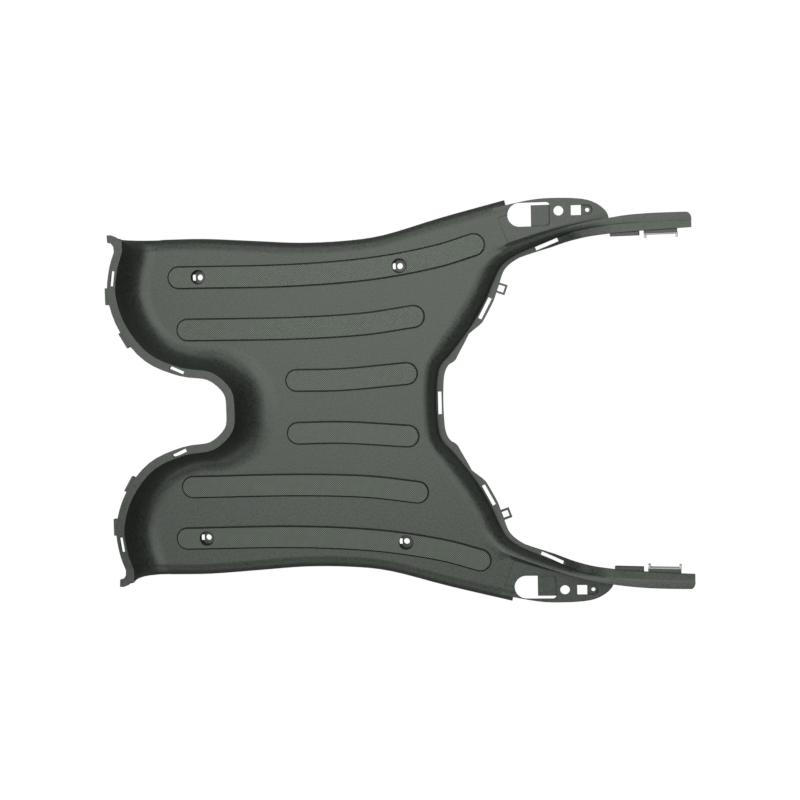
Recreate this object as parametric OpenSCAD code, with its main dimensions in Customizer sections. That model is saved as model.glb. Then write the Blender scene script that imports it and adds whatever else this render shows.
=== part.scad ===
// Floorboard of a small scooter: one injection-moulded shell of black plastic.
// +X points to the rear of the scooter, +Y to its right side, +Z up, in millimetres.
// The origin is on the centre plane, in the top face of the tread floor.
// Each rim is a loft: a row of sections, each a 2-D polyline with the wall laid below it.

/* [Shell] */
// Thickness of the moulded wall
wall_t = 3; // [2.4:0.1:3.4]
// Depth of the side skirts below the tread floor
skirt_depth = 28; // [24:1:40]
// Radius of the rounding from the floor into a side skirt
side_round = 13; // [8:1:18]
// How far a side skirt leans out between its rounding and its lower edge
skirt_draft = 1.5; // [0.5:0.5:4]
// Half width of the board at its rear corners
corner_y = 218; // [212:1:226]
// Half width of the board at its waist
waist_y = 179; // [175:1:184]

/* [Front rim] */
// Height of the front rim above the floor at the notch
notch_h = 46; // [30:1:60]
// Height of the front rim above the floor at its two ends
lobe_h = 40; // [26:1:54]
// Width of the flange along the front rim
front_flange_w = 9; // [8:0.5:12]
// Length of the snap slots in the front flange
front_slot_l = 16; // [10:0.5:20]
// Width of the snap slots in the front flange
front_slot_w = 3.5; // [2:0.5:4]

/* [Rear rim and arms] */
// Drop from the tread floor to the rear flange
rear_drop = 22; // [14:1:24]
// Height of the arm tips above the tread floor
arm_rise = 40; // [28:1:60]
// Depth of the outer lip along the free length of an arm
arm_lip = 9; // [6:0.5:14]
// Length of the snap slots in the rear flange
rear_slot_l = 25; // [16:1:28]
// Width of the snap slots in the rear flange
rear_slot_w = 4; // [2.5:0.5:4.5]
// Clear width of the square loops on the rear flange
loop_hole = 7; // [5:0.5:8]
// Wall of the square loops
loop_wall = 2.2; // [1.8:0.2:3]

/* [Tread strips] */
// Width of a tread strip
strip_w = 22; // [18:0.5:24]
// Height of a tread strip above the floor
strip_h = 1.8; // [1:0.1:2.5]
// Width of the groove that runs round each strip
groove_w = 1.6; // [0.8:0.1:2]
// Depth of that groove
groove_d = 1.2; // [0.4:0.1:1.6]

/* [Screw wells] */
// Diameter of a screw well
well_d = 15.5; // [13:0.5:17]
// Depth of a screw well below the floor
well_depth = 7; // [5:0.5:12]
// Diameter of the screw hole in a well
screw_d = 6.5; // [5.5:0.1:7]
// Distance of the front wells from the centre plane
front_well_y = 144.5; // [142:0.5:147]
// Distance of the rear wells from the centre plane
rear_well_y = 150.5; // [148:0.5:153]

/* [Ears] */
// Diameter of the round end of the keyhole opening
keyhole_d = 25.5; // [22:0.5:27]
// Length of the keyhole opening
keyhole_l = 45; // [40:1:47]
// Diameter of the round fixing hole in an ear
ear_hole_d = 10.4; // [8:0.2:12]
// Side of the square hole in an ear
ear_square = 10.8; // [8:0.2:12]
// Diameter of the small screw hole in an ear
ear_screw_d = 4.5; // [3:0.1:5]

/* [Hidden] */
plastic = [0.26, 0.28, 0.26];

// Drop of each rim below the floor face where it joins the floor, so no two faces coincide.
seam = 0.1;
// How far a rim reaches into the floor slab.
tongue = 4;
// Ears lie this much below the floor face.
ear_drop = 0.6;
// Overlap of cutters past the faces that they cut, and of small parts into what carries them.
past = 1;
// Sections to each span of a guide curve, and points to each cove.
spans = 4;
cove_n = 6;

// Front rim: inner edge of the flange from the centre plane to the end, as x, y, run of the cove.
front_guide = [[-171.5, 0, 36], [-175, 23, 34], [-196, 41.5, 27], [-228, 47, 23], [-262, 62, 22],
    [-287, 92, 23], [-298, 125, 24], [-296, 152, 24], [-290, 172.5, 24]];
front_end_y = front_guide[len(front_guide) - 1][1];

// Rear rim: crest line from the centre plane to the arm tip, where the floor turns down.
crest_guide = [[26, 0], [27, 26], [31, 44], [41, 62], [60, 90], [70, 106], [82, 126], [90, 145],
    [106, 160], [127, 168], [160, 178.5], [190, 186.5], [222, 192], [262, 195], [309.5, 195]];
// Root line, where the wall below the crest meets the flange.
root_guide = [[39, 0], [40.5, 28], [45, 42.5], [54.5, 52.5], [74, 77], [85, 93], [97, 115],
    [105, 133], [114, 149], [131, 160], [163, 172], [192, 180.5], [223, 184.5], [262, 186],
    [309.5, 186]];
// Share of the arm's rise reached at each of those stations.
rise_share = [0, 0, 0, 0, 0, 0, 0, 0.01, 0.04, 0.14, 0.32, 0.5, 0.68, 0.86, 1];
// Share of the rear drop left at each station, which fades out along the arm.
drop_share = [1, 1, 1, 1, 0.98, 0.96, 0.93, 0.9, 0.85, 0.8, 0.7, 0.5, 0.3, 0.18, 0.14];
// Width of the flange at each station.
flange_guide = [7.5, 7.5, 8.5, 8.5, 3, 8.5, 8.5, 7, 5.5, 4.5, 7.5, 8.5, 8.5, 8, 6.5];
// How far the outer foot of the crest stands off at each station.
foot_guide = [4, 4, 4, 4, 4, 4, 4, 4, 4.5, 5, 4, 2.5, 1.5, 1, 1];

// Outer line of a side, from the foot of the front cove to the rear corner.
side_guide = [[-264, 187], [-217, 186.5], [-160, 182.5], [-110, waist_y], [-60, waist_y + 0.5],
    [-15, 184.5], [49, 201.5], [118, corner_y]];
// How far the inner edge of the flange bends forward at the hook.
hook_bend = 5;

// Hook at each end of the front flange.
hook_shape = [[-299, 170], [-290.5, 170], [-290, 178], [-292, 184.5], [-297, 188.5],
    [-302, 190.5], [-306.5, 190.5], [-306, 182.5], [-302, 181.5], [-299.5, 178]];
hook_t = 3;
// Depth of the end plate below the flange.
end_lip = 7;
// Share of the side's rounding that is gone where the front rim's end is highest.
end_sharpness = 0.84;

// Centre lines of the tread strips on one side of the board, between their round ends.
strip_guides = [
    [[-112, 29], [-60, 29], [9, 34]],
    [[-232, 87], [-120, 86], [-40, 88.5], [18, 95.5]],
    [[-240, 144.5], [-120, 143.5], [-30, 148], [40, 158.5], [84.5, 170.5]]];
strip_spans = 5;

// Screw wells, the bevel of their rims, and the drain hole beside each screw hole.
well_places = [[-218, front_well_y], [4, rear_well_y]];
well_boss_t = 2.5;
well_rim = 0.8;
drain_x = -6.6;
drain_w = 4;

// Snap slots: place and direction of the long side, on the front and the rear flange.
front_slots = [[-301.5, 144, 83], [-233, 44.5, -24]];
rear_slots = [[94.5, 102.5, 62], [162.5, 169, 20]];
centre_slot_x = 42.8;
// Grip tabs below the outer edge of the front flange, and the square loops at the rear.
front_tabs = [[-306.5, 125, 90], [-290.5, 78, -60]];
tab_l = 18;
tab_out = 4;
tab_in = 2;
tab_h = 5;
loop_place = [112.5, 123.5, -20];
loop_z = -rear_drop * 0.93;

// Ear: outer outline, the opening with its shelf, and the holes in a row behind it.
ear_guide = [[106, 209], [147, 216.5], [175, 217.5], [201, 215.5], [216, 210], [226, 201], [229, 191]];
ear_inner = [[190, 185], [160, 177], [127, 167], [108, 160], [102, 175]];
keyhole_at = [134, 201];
keyhole_corner = 4;
shelf_l = 20;
shelf_slit = 3;
shelf_lap = 3;
ear_hole_at = [175.5, 204];
ear_square_at = [194, 204];
ear_screw_at = [206, 204];
recess_d = 10.4;
recess_wall = 1.5;
recess_low = 2;

// Corner that is cut off the outside of each arm tip to round it.
tip_corner = [[298, 197.5], [298, 196.3], [303, 195.4], [307, 192.5], [309, 188], [311, 184], [311, 197.5]];
// Clip bracket and stop tab inside each arm tip.
clip_at = [262, 174];
clip_l = 34;
clip_w = 6;
clip_h = 9;
clip_wall = 2;
clip_foot = 3;
stop_at = [229, 173.5];
stop_l = 30;
stop_w = 6;
stop_h = 5;

function catmull(a, b, c, d, t) =
    0.5 * (2 * b + (c - a) * t + (2 * a - 5 * b + 4 * c - d) * t * t
        + (3 * b - a - 3 * c + d) * t * t * t);
function flip_y(p) = [for (i = [0:len(p) - 1]) i == 1 ? -p[i] : p[i]];
// Smooth curve through guide points; a symmetric one starts square to the centre plane.
function spline(p, n, symmetric = false) = [
    for (i = [0:len(p) - 2])
        let (a = i > 0 ? p[i - 1] : symmetric ? flip_y(p[1]) : 2 * p[0] - p[1],
            d = i < len(p) - 2 ? p[i + 2] : 2 * p[i + 1] - p[i])
        for (k = [0:n - 1]) catmull(a, p[i], p[i + 1], d, k / n),
    p[len(p) - 1]];
function unit(v) = v / norm(v);
function bezier(a, b, c, d, t) =
    a * pow(1 - t, 3) + 3 * b * t * pow(1 - t, 2) + 3 * c * t * t * (1 - t) + d * pow(t, 3);
function tangent(p, i) = unit(p[min(i + 1, len(p) - 1)] - p[max(i - 1, 0)]);

// Normal that points below a 2-D segment, and a polyline shifted below itself by t.
function below(a, b) = let (d = unit(b - a)) [d[1], -d[0]];
function miter(q, i) =
    let (n1 = below(q[max(i - 1, 0)], q[max(i, 1)]),
        n2 = below(q[min(i, len(q) - 2)], q[min(i + 1, len(q) - 1)]))
    (n1 + n2) / (1 + n1 * n2);
function laid_below(q, t) = [for (i = [0:len(q) - 1]) q[i] + miter(q, i) * t];

// A section in space: the polyline q in the plane of u and up, with its wall below.
function section(p, u, up, q) = let (w = laid_below(q, wall_t)) [
    [for (v = q) p + u * v[0] + up * v[1]],
    [for (v = w) p + u * v[0] + up * v[1]]];
function mirror_section(s) = [for (side = s) [for (p = side) flip_y(p)]];

// Loft a row of sections into one closed skin of triangles.
module loft(rows, turn = false) {
    m = len(rows[0][0]);
    n = len(rows);
    function id(i, side, j) = i * 2 * m + side * m + j;
    function pair(a, b, c, d) = [[a, b, c], [a, c, d]];
    quads = [
        for (i = [0:n - 2]) each [
            for (j = [0:m - 2]) each [
                [id(i, 0, j), id(i + 1, 0, j), id(i + 1, 0, j + 1), id(i, 0, j + 1)],
                [id(i, 1, j + 1), id(i + 1, 1, j + 1), id(i + 1, 1, j), id(i, 1, j)]],
            [id(i, 1, 0), id(i + 1, 1, 0), id(i + 1, 0, 0), id(i, 0, 0)],
            [id(i, 0, m - 1), id(i + 1, 0, m - 1), id(i + 1, 1, m - 1), id(i, 1, m - 1)]],
        for (j = [0:m - 2]) each [
            [id(0, 0, j), id(0, 0, j + 1), id(0, 1, j + 1), id(0, 1, j)],
            [id(n - 1, 0, j + 1), id(n - 1, 0, j), id(n - 1, 1, j), id(n - 1, 1, j + 1)]]];
    tris = [for (f = quads) each pair(f[0], f[1], f[2], f[3])];
    polyhedron([for (r = rows) each concat(r[0], r[1])],
        turn ? [for (f = tris) [f[0], f[2], f[1]]] : tris, convexity = 10);
}

// Front rim: a concave cove rises from the floor to the flange.
function front_height(y) = notch_h + (lobe_h - notch_h) * pow(y / front_end_y, 2);
function cove(run, h) = [for (k = [1:cove_n])
    bezier([0, -seam], [0.62 * run, -seam], [0.93 * run, 0.3 * h], [run, h], k / cove_n)];
function front_section(run, h) =
    concat([[-tongue, -4 * seam], [0, -seam]], cove(run, h), [[run + front_flange_w, h]]);
front_line = spline(front_guide, spans, true);
front_plan = [for (p = front_line) [p[0], p[1]]];
front_last = len(front_line) - 1;
function front_normal(i) =
    let (t = i == 0 ? [0, 1] : tangent(front_plan, i), square_up = pow(i / front_last, 6))
    unit([-t[1], t[0], 0] * (1 - square_up) + [-1, 0, 0] * square_up);
function front_row(i) =
    let (p = front_line[i], run = p[2], h = front_height(p[1]), u = front_normal(i))
    section([p[0], p[1], 0] - u * run, u, [0, 0, 1], front_section(run, h));
front_half = [for (i = [0:front_last]) front_row(i)];
// The cove rounds over into the side by the angle a, with a radius that shrinks up to the hook.
front_end = front_line[front_last];
function end_row(a) =
    let (q = front_section(front_end[2], lobe_h),
        high = [for (v = q) max(v[1], 0) / lobe_h],
        r = [for (k = high) side_round * (1 - end_sharpness * pow(k, 1.5))],
        top = [for (i = [0:len(q) - 1]) q[i] + miter(q, i) * r[i] * (1 - cos(a))],
        low = laid_below(top, wall_t))
    [for (line = [top, low]) [for (i = [0:len(q) - 1]) [
        front_end[0] + front_end[2] - line[i][0] - hook_bend * (1 - cos(a)) * high[i],
        side_guide[0][1] - r[i] * (1 - sin(a)), line[i][1]]]];
end_rows = [for (a = [0:30:90]) end_row(a)];
front_all = concat(front_half, end_rows);
front_rows = concat([for (i = [len(front_all) - 1:-1:1]) mirror_section(front_all[i])], front_all);

// Rear rim: the floor turns down to a flange, and past the corner its crest rises as an arm.
crest_line = spline(crest_guide, spans, true);
root_line = spline(root_guide, spans, true);
function along(list, i) = let (k = min(floor(i / spans), len(list) - 2), t = i / spans - k)
    list[k] * (1 - t) + list[k + 1] * t;
function smooth_along(list, i) = let (k = min(floor(i / spans), len(list) - 2),
    t = i / spans - k) catmull(list[max(k - 1, 0)], list[k], list[k + 1],
        list[min(k + 2, len(list) - 1)], t);
function crest_z(i) = max(arm_rise * smooth_along(rise_share, i), 0) - seam;
function root_z(i) = crest_z(i) - rear_drop * smooth_along(drop_share, i);
// The foot lies in the floor and the ear, and past the ear it is the edge of the arm's lip.
function foot_z(i) = let (free = crest_line[i][0] - ear_tip_x)
    free < 0 ? -seam : min(-seam + free, crest_z(i) - arm_lip);
function rear_u(i) = let (v = root_line[i] - crest_line[i]) unit([v[0], v[1], 0]);
function rear_row(i) =
    let (c = crest_line[i], r = root_line[i], u = rear_u(i), d = norm(r - c),
        zc = crest_z(i), zr = root_z(i))
    section([c[0], c[1], 0], u, [0, 0, 1], concat(
        [[-along(foot_guide, i), foot_z(i)]],
        [for (k = [0:cove_n]) bezier([0, zc], [0.6 * d, zc], [0.9 * d, zc * 0.6 + zr * 0.4],
            [d, zr], k / cove_n)],
        [[d + along(flange_guide, i), zr]]));
ear_tip_x = 222;
rear_half = [for (i = [0:len(crest_line) - 1]) rear_row(i)];
rear_rows = concat([for (i = [len(rear_half) - 1:-1:1]) mirror_section(rear_half[i])], rear_half);

// Side: the floor rounds over into the skirt.
side_line = spline(side_guide, spans);
function side_row(i) =
    let (p = side_line[i], t = tangent(side_line, i), u = [-t[1], t[0], 0], r = side_round)
    section([p[0], p[1], 0] - u * r, u, [0, 0, 1], concat(
        [[-tongue, -seam]],
        [for (k = [0:cove_n]) [r * sin(90 * k / cove_n), r * (cos(90 * k / cove_n) - 1) - seam]],
        [[r + skirt_draft, -skirt_depth]]));
side_rows = [for (i = [0:len(side_line) - 1]) side_row(i)];

// End plate: closes the front rim at the side, and carries the skirt up to the hook.
module end_plate() {
    rim = [for (p = end_rows[len(end_rows) - 1][0]) [p[0], p[2] - 2 * seam]];
    low_z = seam - skirt_depth;
    translate([0, side_guide[0][1] - seam, 0]) rotate([90, 0, 0]) linear_extrude(wall_t)
        polygon(concat(rim, [rim[len(rim) - 1] - [0, end_lip],
            [side_guide[0][0] - 3 * end_lip, low_z], [rim[0][0], low_z]]));
}

// Rear rim with the outer corners of the arm tips rounded off.
module rear_rim() {
    difference() {
        loft(rear_rows);
        both_sides() translate([0, 0, arm_rise / 2]) linear_extrude(arm_rise) polygon(tip_corner);
    }
}

function plan(p) = [p[0], p[1]];
// The slab's edge runs inside the tongues of the rims, with its corners off their section lines.
function slab_edge(rows, last, share) = [for (i = [0:last - 1])
    let (a = rows[i][0], b = rows[i + 1][0], k = i == 0 ? 0.1 : 0.35)
    (a[0] * share + a[1] * (1 - share)) * (1 - k) + (b[0] * share + b[1] * (1 - share)) * k];
module floor_slab() {
    front = slab_edge(front_half, front_last, 0.7);
    side = slab_edge(side_rows, len(side_rows) - 1, 0.3);
    rear = slab_edge(rear_half, 9 * spans, 0.3);
    half = [for (p = concat(front, side, [for (i = [len(rear) - 1:-1:0]) rear[i]])) plan(p)];
    translate([0, 0, -wall_t]) linear_extrude(wall_t)
        polygon(concat(half, [for (i = [len(half) - 1:-1:0]) [half[i][0], -half[i][1]]]));
}

// Outline of a band of width w round a centre line, with round ends.
function band(line, w) =
    let (n = len(line) - 1, r = w / 2, t0 = tangent(line, 0), t1 = tangent(line, n),
        a0 = atan2(t0[1], t0[0]), a1 = atan2(t1[1], t1[0]))
    concat([for (i = [0:n]) let (t = tangent(line, i)) line[i] + [t[1], -t[0]] * r],
        [for (a = [-75:15:75]) line[n] + [cos(a1 + a), sin(a1 + a)] * r],
        [for (i = [n:-1:0]) let (t = tangent(line, i)) line[i] + [-t[1], t[0]] * r],
        [for (a = [105:15:255]) line[0] + [cos(a0 + a), sin(a0 + a)] * r]);

module strip_prism(k, w, z0, z1) {
    translate([0, 0, z0]) linear_extrude(z1 - z0) polygon(band(spline(strip_guides[k], strip_spans), w));
}

module strips_raised() {
    for (k = [0:len(strip_guides) - 1]) strip_prism(k, strip_w, -wall_t / 2, strip_h);
}

module strip_grooves() {
    for (k = [0:len(strip_guides) - 1]) difference() {
        strip_prism(k, strip_w + 2 * groove_w, -groove_d, past);
        strip_prism(k, strip_w, -groove_d - past, 2 * past);
    }
}

module strip_hollows() {
    for (k = [0:len(strip_guides) - 1])
        strip_prism(k, strip_w - 2 * wall_t, -wall_t - past, strip_h - wall_t);
}

module well_bosses() {
    for (p = well_places) translate([p[0], p[1], -well_depth - wall_t])
        cylinder(d = well_d + 2 * well_boss_t, h = well_depth + wall_t - groove_d, $fn = 48);
}

module well_cuts() {
    for (p = well_places) translate([p[0], p[1], 0]) {
        translate([0, 0, -well_depth]) cylinder(d = well_d, h = well_depth + strip_h + past, $fn = 48);
        translate([0, 0, strip_h - well_rim])
            cylinder(d1 = well_d - well_rim, d2 = well_d + 3 * well_rim, h = 2 * well_rim, $fn = 48);
        translate([0, 0, -well_depth - wall_t - past])
            cylinder(d = screw_d, h = wall_t + 2 * past, $fn = 32);
        translate([drain_x - drain_w / 2, -screw_d / 2, -well_depth - wall_t - past])
            cube([drain_w, screw_d, wall_t + 2 * past]);
    }
}

// A slot cutter: p is place and direction, and the slot runs through from z0 to z1.
module slot_cut(p, l, w, z0, z1) {
    translate([p[0], p[1], z0]) rotate(p[2]) translate([-l / 2, -w / 2, 0]) cube([l, w, z1 - z0]);
}

module front_fittings() {
    translate([0, 0, lobe_h - hook_t]) linear_extrude(hook_t - seam) polygon(hook_shape);
    for (p = front_tabs) translate([p[0], p[1], front_height(p[1]) - wall_t - tab_h])
        rotate(p[2]) translate([-tab_l / 2, -tab_in, 0]) cube([tab_l, tab_out + tab_in, tab_h + past]);
}

module loop_ring() {
    side = loop_hole + 2 * loop_wall;
    translate([loop_place[0], loop_place[1], loop_z - wall_t]) rotate(loop_place[2])
        translate([-side / 2, -side / 2, 0]) cube([side, side, wall_t]);
}

module ear_plate() {
    translate([0, 0, -ear_drop - wall_t]) linear_extrude(wall_t)
        polygon(concat(spline(ear_guide, spans), ear_inner));
}

module ear_cuts() {
    low = -ear_drop - wall_t - past;
    high = wall_t + 2 * past;
    translate([0, 0, low]) linear_extrude(high) {
        translate(keyhole_at) circle(d = keyhole_d, $fn = 48);
        translate([keyhole_at[0], keyhole_at[1] - keyhole_d / 2])
            square([keyhole_l - keyhole_d / 2 - keyhole_corner, keyhole_d]);
        translate([keyhole_at[0], keyhole_at[1] - keyhole_d / 2 + keyhole_corner])
            square([keyhole_l - keyhole_d / 2, keyhole_d - 2 * keyhole_corner]);
        for (s = [-1, 1]) translate([keyhole_at[0] + keyhole_l - keyhole_d / 2 - keyhole_corner,
            keyhole_at[1] + s * (keyhole_d / 2 - keyhole_corner)]) circle(keyhole_corner, $fn = 24);
    }
    translate([ear_hole_at[0], ear_hole_at[1], low]) cylinder(d = ear_hole_d, h = high, $fn = 32);
    translate([ear_square_at[0] - ear_square / 2, ear_square_at[1] - ear_square / 2, low])
        cube([ear_square, ear_square, high]);
    translate([0, 0, low]) linear_extrude(high) {
        translate(ear_screw_at) circle(d = recess_d, $fn = 32);
        translate([ear_square_at[0] + ear_square / 2 - past / 2, ear_screw_at[1] - recess_d / 2])
            square([ear_screw_at[0] - ear_square_at[0] - ear_square / 2 + past / 2, recess_d]);
    }
}

module ear_low_parts() {
    top = -ear_drop - wall_t;
    end_x = keyhole_at[0] + keyhole_l - keyhole_d / 2;
    translate([end_x - shelf_l, keyhole_at[1] - keyhole_d / 2 - shelf_lap, top - wall_t + past / 2])
        cube([shelf_l + shelf_lap, keyhole_d + shelf_lap - shelf_slit, wall_t]);
    difference() {
        translate([ear_square_at[0] + ear_square / 2, ear_screw_at[1] - recess_d / 2 - recess_wall,
            top - recess_low]) cube([ear_screw_at[0] - ear_square_at[0] - ear_square / 2 + recess_d / 2
                + recess_wall, recess_d + 2 * recess_wall, wall_t]);
        translate([ear_screw_at[0], ear_screw_at[1], top - recess_low - past])
            cylinder(d = ear_screw_d, h = wall_t + 2 * past, $fn = 24);
    }
}

function arm_edge_z(x) = lookup(x, [for (i = [0:len(root_line) - 1]) [root_line[i][0], root_z(i)]]);
function arm_tilt(x, l) = -atan((arm_edge_z(x + l) - arm_edge_z(x)) / l);
module arm_clips() {
    translate([clip_at[0], clip_at[1], arm_edge_z(clip_at[0]) - wall_t])
        rotate([0, arm_tilt(clip_at[0], clip_l), 0]) {
            translate([0, 0, -clip_wall]) cube([clip_l, clip_w, clip_wall + past]);
            translate([0, 0, -clip_h]) cube([clip_l, clip_wall, clip_h]);
            for (x = [0, clip_l - clip_wall]) translate([x, -clip_foot, -clip_h])
                cube([clip_wall, clip_foot + clip_wall, clip_h]);
        }
    translate([stop_at[0], stop_at[1], arm_edge_z(stop_at[0]) - wall_t - stop_h])
        rotate([0, arm_tilt(stop_at[0], stop_l), 0]) cube([stop_l, stop_w, stop_h + past]);
}

module half_extras() {
    end_plate();
    strips_raised();
    well_bosses();
    front_fittings();
    loop_ring();
    ear_plate();
    arm_clips();
}

module half_cuts() {
    strip_grooves();
    strip_hollows();
    well_cuts();
    ear_cuts();
    for (p = front_slots)
        slot_cut(p, front_slot_l, front_slot_w, lobe_h - wall_t - 3, notch_h + past);
    for (p = rear_slots) slot_cut(p, rear_slot_l, rear_slot_w, -rear_drop - wall_t - past, 9);
    slot_cut(loop_place, loop_hole, loop_hole, loop_z - wall_t - past, loop_z + wall_t);
}

module both_sides() {
    for (s = [0, 1]) mirror([0, s, 0]) children();
}

module floorboard() {
    color(plastic) union() {
        difference() {
            union() {
                floor_slab();
                loft(front_rows, true);
                rear_rim();
                both_sides() loft(side_rows, true);
                both_sides() half_extras();
            }
            both_sides() half_cuts();
            slot_cut([centre_slot_x, 0, 90], rear_slot_l, rear_slot_w,
                -rear_drop - wall_t - past, -rear_drop + wall_t);
        }
        both_sides() ear_low_parts();
    }
}

floorboard();
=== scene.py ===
import math

import bmesh
import bpy
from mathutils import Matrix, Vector


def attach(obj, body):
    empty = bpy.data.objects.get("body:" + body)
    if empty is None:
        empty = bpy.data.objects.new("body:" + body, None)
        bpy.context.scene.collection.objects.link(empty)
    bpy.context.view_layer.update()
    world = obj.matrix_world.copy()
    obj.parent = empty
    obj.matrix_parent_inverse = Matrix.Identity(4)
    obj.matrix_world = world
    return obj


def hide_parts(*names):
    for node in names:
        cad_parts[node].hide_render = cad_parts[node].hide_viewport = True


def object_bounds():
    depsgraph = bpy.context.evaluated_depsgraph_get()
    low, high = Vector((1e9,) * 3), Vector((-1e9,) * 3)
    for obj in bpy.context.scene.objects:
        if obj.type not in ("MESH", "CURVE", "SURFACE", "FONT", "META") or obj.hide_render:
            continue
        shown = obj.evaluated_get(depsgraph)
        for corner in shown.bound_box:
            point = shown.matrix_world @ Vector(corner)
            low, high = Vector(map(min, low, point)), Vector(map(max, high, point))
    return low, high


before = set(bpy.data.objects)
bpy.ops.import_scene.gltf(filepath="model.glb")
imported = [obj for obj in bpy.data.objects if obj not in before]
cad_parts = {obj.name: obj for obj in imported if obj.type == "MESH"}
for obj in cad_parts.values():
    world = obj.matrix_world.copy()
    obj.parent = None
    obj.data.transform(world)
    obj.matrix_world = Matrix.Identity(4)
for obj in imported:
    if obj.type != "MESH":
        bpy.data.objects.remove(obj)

# A scooter floorboard, seen from above as in the photograph. Lengths are in metres.
# +X is to the rear of the scooter, +Y to its right side, and +Z up from the tread floor.


def corners(box):
    return [list(box[0]), list(box[1])]


cad_size = corners(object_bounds())


# Camera: place, tilt and focal length from a fit to the photographed outline.

PHOTO_SIDE = 800  # pixels
FOCAL_PIXELS = 1298.5
SENSOR_WIDTH = 36.0  # millimetres, as Blender gives lenses and sensors
CAMERA_PLACE = (0.1492, 0.0902, 1.400)
CAMERA_TILT = (-3.597, 5.947, -1.448)  # degrees about x, y and z


def add_camera():
    data = bpy.data.cameras.new("camera")
    data.sensor_width = SENSOR_WIDTH
    data.lens = FOCAL_PIXELS / PHOTO_SIDE * SENSOR_WIDTH
    camera = bpy.data.objects.new("camera", data)
    camera.location = CAMERA_PLACE
    camera.rotation_euler = [math.radians(turn) for turn in CAMERA_TILT]
    bpy.context.scene.collection.objects.link(camera)
    bpy.context.scene.camera = camera


add_camera()
bpy.context.scene.view_settings.view_transform = "Standard"


# Node trees


class Tree:
    """A node tree that is built one node at a time, with a method for each usual step."""

    def __init__(self, owner):
        owner.use_nodes = True
        self.nodes = owner.node_tree.nodes
        self.links = owner.node_tree.links
        self.nodes.clear()

    def add(self, kind, **values):
        node = self.nodes.new(kind)
        for name, value in values.items():
            setattr(node, name, value)
        return node

    def feed(self, value, socket):
        """Link the socket to another node's output, or set it to a plain value."""
        if isinstance(value, bpy.types.NodeSocket):
            self.links.new(value, socket)
        else:
            socket.default_value = value

    def math(self, operation, *values):
        node = self.add("ShaderNodeMath", operation=operation)
        for value, socket in zip(values, node.inputs):
            self.feed(value, socket)
        return node.outputs[0]

    def scaled(self, value, factor, start=0.0):
        """The value times the factor, plus the start."""
        product = self.math("MULTIPLY", value, factor)
        return self.math("ADD", product, start) if start else product

    def split(self, vector):
        node = self.add("ShaderNodeSeparateXYZ")
        self.feed(vector, node.inputs[0])
        return node.outputs

    def noise(self, place, scale, detail, roughness):
        node = self.add("ShaderNodeTexNoise")
        self.feed(place, node.inputs["Vector"])
        node.inputs["Scale"].default_value = scale
        node.inputs["Detail"].default_value = detail
        node.inputs["Roughness"].default_value = roughness
        return node.outputs["Fac"]

    def smooth_step(self, value, low, high, to_low=0.0, to_high=1.0):
        """From to_low where the value is low, eased over to to_high where it is high."""
        node = self.add("ShaderNodeMapRange", interpolation_type="SMOOTHSTEP")
        node.inputs["From Min"].default_value = low
        node.inputs["From Max"].default_value = high
        node.inputs["To Min"].default_value = to_low
        node.inputs["To Max"].default_value = to_high
        self.feed(value, node.inputs["Value"])
        return node.outputs["Result"]

    def mix(self, share, a, b):
        """Colour a where the share is 0, and colour b where it is 1."""
        node = self.add("ShaderNodeMix", data_type="RGBA")
        self.feed(share, node.inputs["Factor"])
        self.feed(a, node.inputs["A"])
        self.feed(b, node.inputs["B"])
        return node.outputs["Result"]


# The moulded plastic

STRIP_TOP = 0.0018  # height of the strips' tops above the tread floor
STRIP_REACH = (0.0002, 0.0004)  # a strip's top fades out between these distances from that height
LEVEL = (0.99, 0.999)  # a face counts as level between these upward parts of its normal
DOT_PITCH = 0.0024  # spacing of the moulded dots on the strips
DOT_STEP = (-0.2, 0.8)  # the waves' product at the foot and at the top of a dot
DOT_SHARE = 0.25  # how much of their height the dots keep beside the strips
CLIP_START = 0.2618  # the clips lie further to the rear than this x
CLIP_SIDE = 0.1745  # and nearer to the centre plane than this
CLIP_FADE = 0.0002

# Scale, detail and roughness of each noise
GRAIN = (900.0, 3.0, 0.6)
MOTTLE = (420.0, 2.0, 0.7)
CLOUD = (9.0, 3.0, 0.5)

SPECK_STEP = (0.3, 0.6)  # the mottle is a dark speck below the first and plain above the second
SHADE_REACH = 0.005  # how far away a wall still adds painted shade to a corner
SHADE_STEP = (0.25, 0.8)  # shares of what a point sees where the painted shade is full and where it ends
SHADE_SAMPLES = 8

PLAIN_DARK = (0.023, 0.027, 0.022, 1.0)
PLAIN_LIGHT = (0.031, 0.036, 0.030, 1.0)
SPECK = (0.008, 0.010, 0.008, 1.0)
BETWEEN_DOTS = (0.012, 0.018, 0.011, 1.0)
ON_DOTS = (0.095, 0.115, 0.092, 1.0)
# painted highlight: pale grey painted on the rear clips
PALE_CLIP_HIGHLIGHT = (0.42, 0.44, 0.42, 1.0)
# painted shade: the near-black colour painted into grooves and corners
PAINTED_HOLLOW_SHADE = (0.004, 0.005, 0.004, 1.0)

EDGE_RADIUS = 0.0004  # rounding that the mould leaves on edges
EDGE_SAMPLES = 4
BUMP_STRENGTH = 0.5
BUMP_DISTANCE = 0.0003
GRAIN_RISE = 0.4
MOTTLE_RISE = 0.5
ROUGHNESS = 0.36
ROUGHNESS_SPREAD = 0.2  # what the mottle adds to it at most
SPECULAR_LEVEL = 0.5
SPECULAR_TINT = (0.93, 1.0, 0.92, 1.0)
PLASTIC_IOR = 1.49


def strip_share(tree, place):
    """1 where the surface is level and at the strips' height, so on a strip's top."""
    height = tree.split(place)["Z"]
    level = tree.split(tree.add("ShaderNodeNewGeometry").outputs["True Normal"])["Z"]
    off = tree.math("ABSOLUTE", tree.math("SUBTRACT", height, STRIP_TOP))
    at_height = tree.smooth_step(off, *STRIP_REACH, 1.0, 0.0)
    return tree.math("MULTIPLY", at_height, tree.smooth_step(level, *LEVEL))


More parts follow.
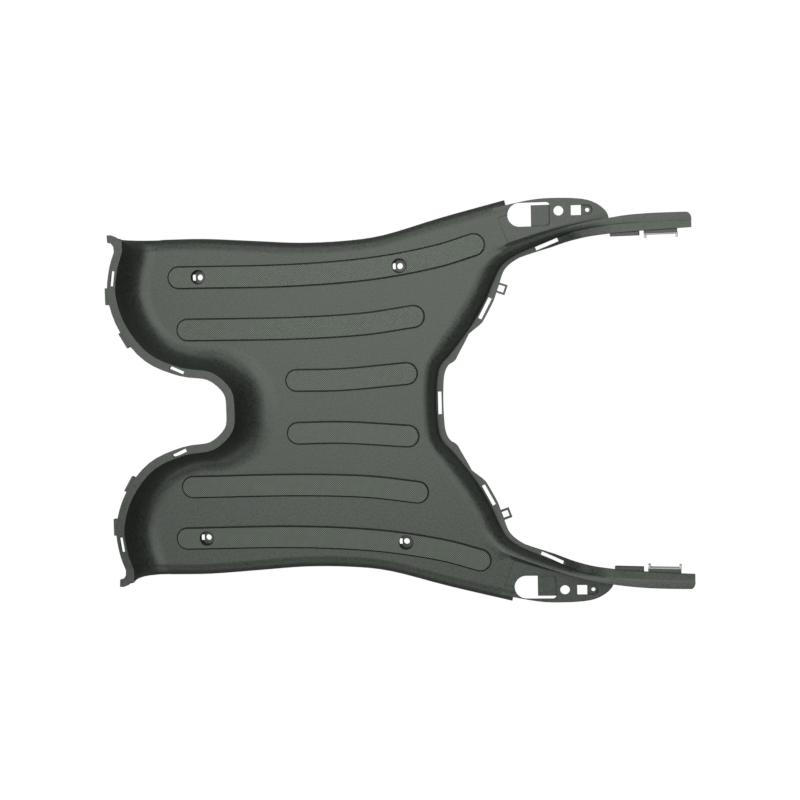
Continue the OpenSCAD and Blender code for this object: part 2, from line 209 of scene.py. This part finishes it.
def moulded_dots(tree, place):
    """Rows of small raised dots, 0 to 1, set like the squares of one colour on a chessboard."""
    parts = tree.split(place)
    turns = 2.0 * math.pi / DOT_PITCH
    waves = [tree.math("SINE", tree.scaled(parts[axis], turns)) for axis in ("X", "Y")]
    return tree.smooth_step(tree.math("MULTIPLY", *waves), *DOT_STEP)


def clip_highlight_share(tree, place):
    """1 on the two rear clips, whose faces get a pale painted highlight."""
    parts = tree.split(place)
    side = tree.math("ABSOLUTE", parts["Y"])
    behind = tree.smooth_step(parts["X"], CLIP_START - CLIP_FADE, CLIP_START)
    inside = tree.smooth_step(side, CLIP_SIDE, CLIP_SIDE + CLIP_FADE, 1.0, 0.0)
    return tree.math("MULTIPLY", behind, inside)


def unshaded_share(tree):
    """Painted shade: 0 deep in grooves and corners, which are painted almost black, and 1
    outside.
    """
    hollow = tree.add("ShaderNodeAmbientOcclusion", samples=SHADE_SAMPLES)
    hollow.inputs["Distance"].default_value = SHADE_REACH
    return tree.smooth_step(hollow.outputs["AO"], *SHADE_STEP)


def moulded_plastic():
    """Near-black polypropylene with a fine moulded grain and rows of dots on the strips, with
    painted shade in grooves and corners and a painted highlight on the rear clips.
    """
    material = bpy.data.materials.new("moulded_plastic")
    tree = Tree(material)
    place = tree.add("ShaderNodeTexCoord").outputs["Object"]
    strip = strip_share(tree, place)
    dots = moulded_dots(tree, place)
    unshaded = unshaded_share(tree)
    grain = tree.noise(place, *GRAIN)
    mottle = tree.noise(place, *MOTTLE)
    cloud = tree.noise(place, *CLOUD)

    plain = tree.mix(cloud, PLAIN_DARK, PLAIN_LIGHT)
    speckled = tree.mix(tree.smooth_step(mottle, *SPECK_STEP), SPECK, plain)
    dotted = tree.mix(dots, BETWEEN_DOTS, ON_DOTS)
    colour = tree.mix(strip, speckled, dotted)
    # Painted highlight: the rear clips are painted pale grey.
    colour = tree.mix(clip_highlight_share(tree, place), colour, PALE_CLIP_HIGHLIGHT)
    # Painted shade: grooves and corners are darkened towards near black.
    colour = tree.mix(unshaded, PAINTED_HOLLOW_SHADE, colour)

    rounded = tree.add("ShaderNodeBevel", samples=EDGE_SAMPLES)
    rounded.inputs["Radius"].default_value = EDGE_RADIUS
    bump = tree.add("ShaderNodeBump")
    bump.inputs["Strength"].default_value = BUMP_STRENGTH
    bump.inputs["Distance"].default_value = BUMP_DISTANCE
    dot_share = tree.scaled(strip, 1.0 - DOT_SHARE, DOT_SHARE)
    dot_rise = tree.math("MULTIPLY", dots, dot_share)
    rise = tree.math("ADD", tree.scaled(grain, GRAIN_RISE), tree.scaled(mottle, MOTTLE_RISE))
    tree.feed(tree.math("ADD", rise, dot_rise), bump.inputs["Height"])
    tree.feed(rounded.outputs["Normal"], bump.inputs["Normal"])

    surface = tree.add("ShaderNodeBsdfPrincipled")
    roughness = tree.scaled(mottle, ROUGHNESS_SPREAD, ROUGHNESS)
    # Painted shade also dims the reflection in grooves and corners.
    specular_level = tree.scaled(unshaded, SPECULAR_LEVEL)
    tree.feed(colour, surface.inputs["Base Color"])
    tree.feed(roughness, surface.inputs["Roughness"])
    tree.feed(specular_level, surface.inputs["Specular IOR Level"])
    tree.feed(bump.outputs["Normal"], surface.inputs["Normal"])
    surface.inputs["IOR"].default_value = PLASTIC_IOR
    surface.inputs["Specular Tint"].default_value = SPECULAR_TINT
    tree.feed(surface.outputs["BSDF"], tree.add("ShaderNodeOutputMaterial").inputs["Surface"])
    return material


# The part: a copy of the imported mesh, with what one moulding shows and the solid lacks

SAME_POINT = 2e-6  # points closer than this are one
CREASE = 35  # degrees: a sharper bend than this is a real edge
SEAM_STEP = 0.00033  # the rims start at most this much below the floor in the solid

# The arms, each as points (x, distance from the centre plane) along a line
ARM_CREST = ((0.16, 0.1785), (0.19, 0.1865), (0.222, 0.192), (0.262, 0.195))
ARM_ROOT = ((0.163, 0.172), (0.192, 0.1805), (0.223, 0.1845), (0.262, 0.186))
# How far the root is lifted at each x, and which share of that on the way from crest to root
ARM_LIFT = ((0.152, 0.0), (0.202, 0.008), (0.223, 0.006), (0.262, 0.0034), (0.3095, 0.0025))
ARM_SLOPE = ((0.0, 0.0), (0.4, 0.07), (0.69, 0.275), (0.886, 0.59), (1.0, 1.0))

TIPS_START = 0.25  # only the arms reach beyond this x
TIP_CORNER = (0.3015, 0.1883)  # centre of the rounding at the arm tips
TIP_RADIUS = 0.008
TIP_TURNS = range(10, 90, 10)  # degrees from the end face to the side, one flat cut at each


def along(points, x, eased=False):
    """Height at x of a line through the points, level before the first and after the last."""
    if x <= points[0][0]:
        return points[0][1]
    for (x0, y0), (x1, y1) in zip(points, points[1:]):
        if x <= x1:
            share = (x - x0) / (x1 - x0)
            if eased:
                share = share * share * (3.0 - 2.0 * share)
            return y0 + (y1 - y0) * share
    return points[-1][1]


def level_seam(work):
    """Close the small step between the floor and the rims, which one moulding doesn't have."""
    for point in work.verts:
        if -SEAM_STEP < point.co.z < 0.0:
            point.co.z = 0.0


def level_arms(work):
    """Lift the inner side of the arms almost level with their outer edge."""
    for point in work.verts:
        x, side = point.co.x, abs(point.co.y)
        crest = along(ARM_CREST, x)
        if x <= ARM_LIFT[0][0] or side > crest:
            continue
        share = (crest - side) / (crest - along(ARM_ROOT, x))
        point.co.z += along(ARM_LIFT, x, eased=True) * along(ARM_SLOPE, share)


def cut_off(work, place, out):
    """Cut the arms with a plane, take away what lies outside it and close the cut."""
    faces = [f for f in work.faces if any(v.co.x > TIPS_START for v in f.verts)]
    chosen = set(faces)
    edges = [e for e in work.edges if any(f in chosen for f in e.link_faces)]
    points = [v for v in work.verts if any(f in chosen for f in v.link_faces)]
    cut = bmesh.ops.bisect_plane(
        work, geom=points + edges + faces, plane_co=place, plane_no=out, clear_outer=True
    )
    rim = [item for item in cut["geom_cut"] if isinstance(item, bmesh.types.BMEdge)]
    bmesh.ops.edgeloop_fill(work, edges=rim)


def round_tips(work):
    """Round the outer corner of both arm tips with a fan of flat cuts."""
    for side in (1, -1):
        corner = Vector((TIP_CORNER[0], side * TIP_CORNER[1], 0.0))
        for degrees in TIP_TURNS:
            turn = math.radians(degrees)
            out = Vector((math.cos(turn), side * math.sin(turn), 0.0))
            cut_off(work, corner + out * TIP_RADIUS, out)


def smooth_normals(piece):
    """Soft normals across the lofted facets, and crisp real edges."""
    stored = piece.data.attributes.get("custom_normal")
    if stored:
        piece.data.attributes.remove(stored)
    piece.data.shade_smooth()
    piece.data.set_sharp_from_angle(angle=math.radians(CREASE))
    soften = piece.modifiers.new("soften", "WEIGHTED_NORMAL")
    soften.mode = "FACE_AREA"
    soften.keep_sharp = True


def smooth_copy(node):
    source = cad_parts[node]
    copy = source.copy()
    copy.data = source.data.copy()
    copy.name = node + "_smooth"
    bpy.context.scene.collection.objects.link(copy)

    work = bmesh.new()
    work.from_mesh(copy.data)
    level_seam(work)
    level_arms(work)
    bmesh.ops.remove_doubles(work, verts=work.verts, dist=SAME_POINT)
    bmesh.ops.dissolve_degenerate(work, edges=work.edges, dist=SAME_POINT)
    round_tips(work)
    work.to_mesh(copy.data)
    work.free()
    smooth_normals(copy)

    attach(copy, "root")
    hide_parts(node)
    return copy


board = smooth_copy("floorboard")
board.data.materials.clear()
board.data.materials.append(moulded_plastic())


# The studio: a pale floor, pale surroundings and soft lamps

FLOOR_SIZE = 12.0
FLOOR_GAP = 0.0005  # the studio floor lies this much below the part
FLOOR_GREY = (0.15, 0.15, 0.15, 1.0)
FLOOR_GLOW = 1.16
FLOOR_GLOW_SHARE = 0.85  # how much of the seen floor is plain white, which keeps the shadow faint
WHITE = (1.0, 1.0, 1.0, 1.0)
WORLD_LIGHT = 0.02  # what the plain surroundings add everywhere

# Place, size and watts of each lamp. The key lamp leans to the right side of the scooter,
# where the photograph's light comes from.
LAMPS = {
    "key": ((-0.06, 0.27, 1.65), (2.2, 1.5), 45.0),
    "side_right": ((0.0, 1.3, 0.7), (1.2, 0.5), 7.0),
    "side_left": ((0.0, -1.3, 0.7), (1.2, 0.5), 5.0),
}


def pale_floor():
    """White where the camera sees it, with a share of matt grey that takes a faint shadow."""
    material = bpy.data.materials.new("pale_floor")
    tree = Tree(material)
    matt = tree.add("ShaderNodeBsdfDiffuse")
    matt.inputs["Color"].default_value = FLOOR_GREY
    glow = tree.add("ShaderNodeEmission")
    glow.inputs["Strength"].default_value = FLOOR_GLOW
    mixed = tree.add("ShaderNodeMixShader")
    seen = tree.add("ShaderNodeLightPath").outputs["Is Camera Ray"]
    tree.feed(tree.scaled(seen, FLOOR_GLOW_SHARE), mixed.inputs[0])
    tree.feed(matt.outputs[0], mixed.inputs[1])
    tree.feed(glow.outputs[0], mixed.inputs[2])
    tree.feed(mixed.outputs[0], tree.add("ShaderNodeOutputMaterial").inputs["Surface"])
    return material


def pale_world():
    """White where the camera sees it, and a weak white light for everything else."""
    world = bpy.data.worlds.new("studio")
    bpy.context.scene.world = world
    tree = Tree(world)
    seen = tree.add("ShaderNodeLightPath").outputs["Is Camera Ray"]
    light = tree.add("ShaderNodeBackground")
    light.inputs["Color"].default_value = WHITE
    tree.feed(tree.smooth_step(seen, 0.0, 1.0, WORLD_LIGHT, 1.0), light.inputs["Strength"])
    tree.feed(light.outputs[0], tree.add("ShaderNodeOutputWorld").inputs["Surface"])


def studio_floor():
    height = cad_size[0][2] - FLOOR_GAP
    bpy.ops.mesh.primitive_plane_add(size=FLOOR_SIZE, location=(0.0, 0.0, height))
    floor = bpy.context.object
    floor.name = "studio_floor"
    floor.data.materials.append(pale_floor())


def soft_lamp(name, place, size, watts):
    """A rectangular lamp that points at the origin."""
    data = bpy.data.lights.new(name, "AREA")
    data.shape = "RECTANGLE"
    data.size, data.size_y = size
    data.energy = watts
    lamp = bpy.data.objects.new(name, data)
    lamp.location = place
    lamp.rotation_euler = (-Vector(place)).to_track_quat("-Z", "Y").to_euler()
    bpy.context.scene.collection.objects.link(lamp)


studio_floor()
pale_world()
for name, (place, size, watts) in LAMPS.items():
    soft_lamp(name, place, size, watts)
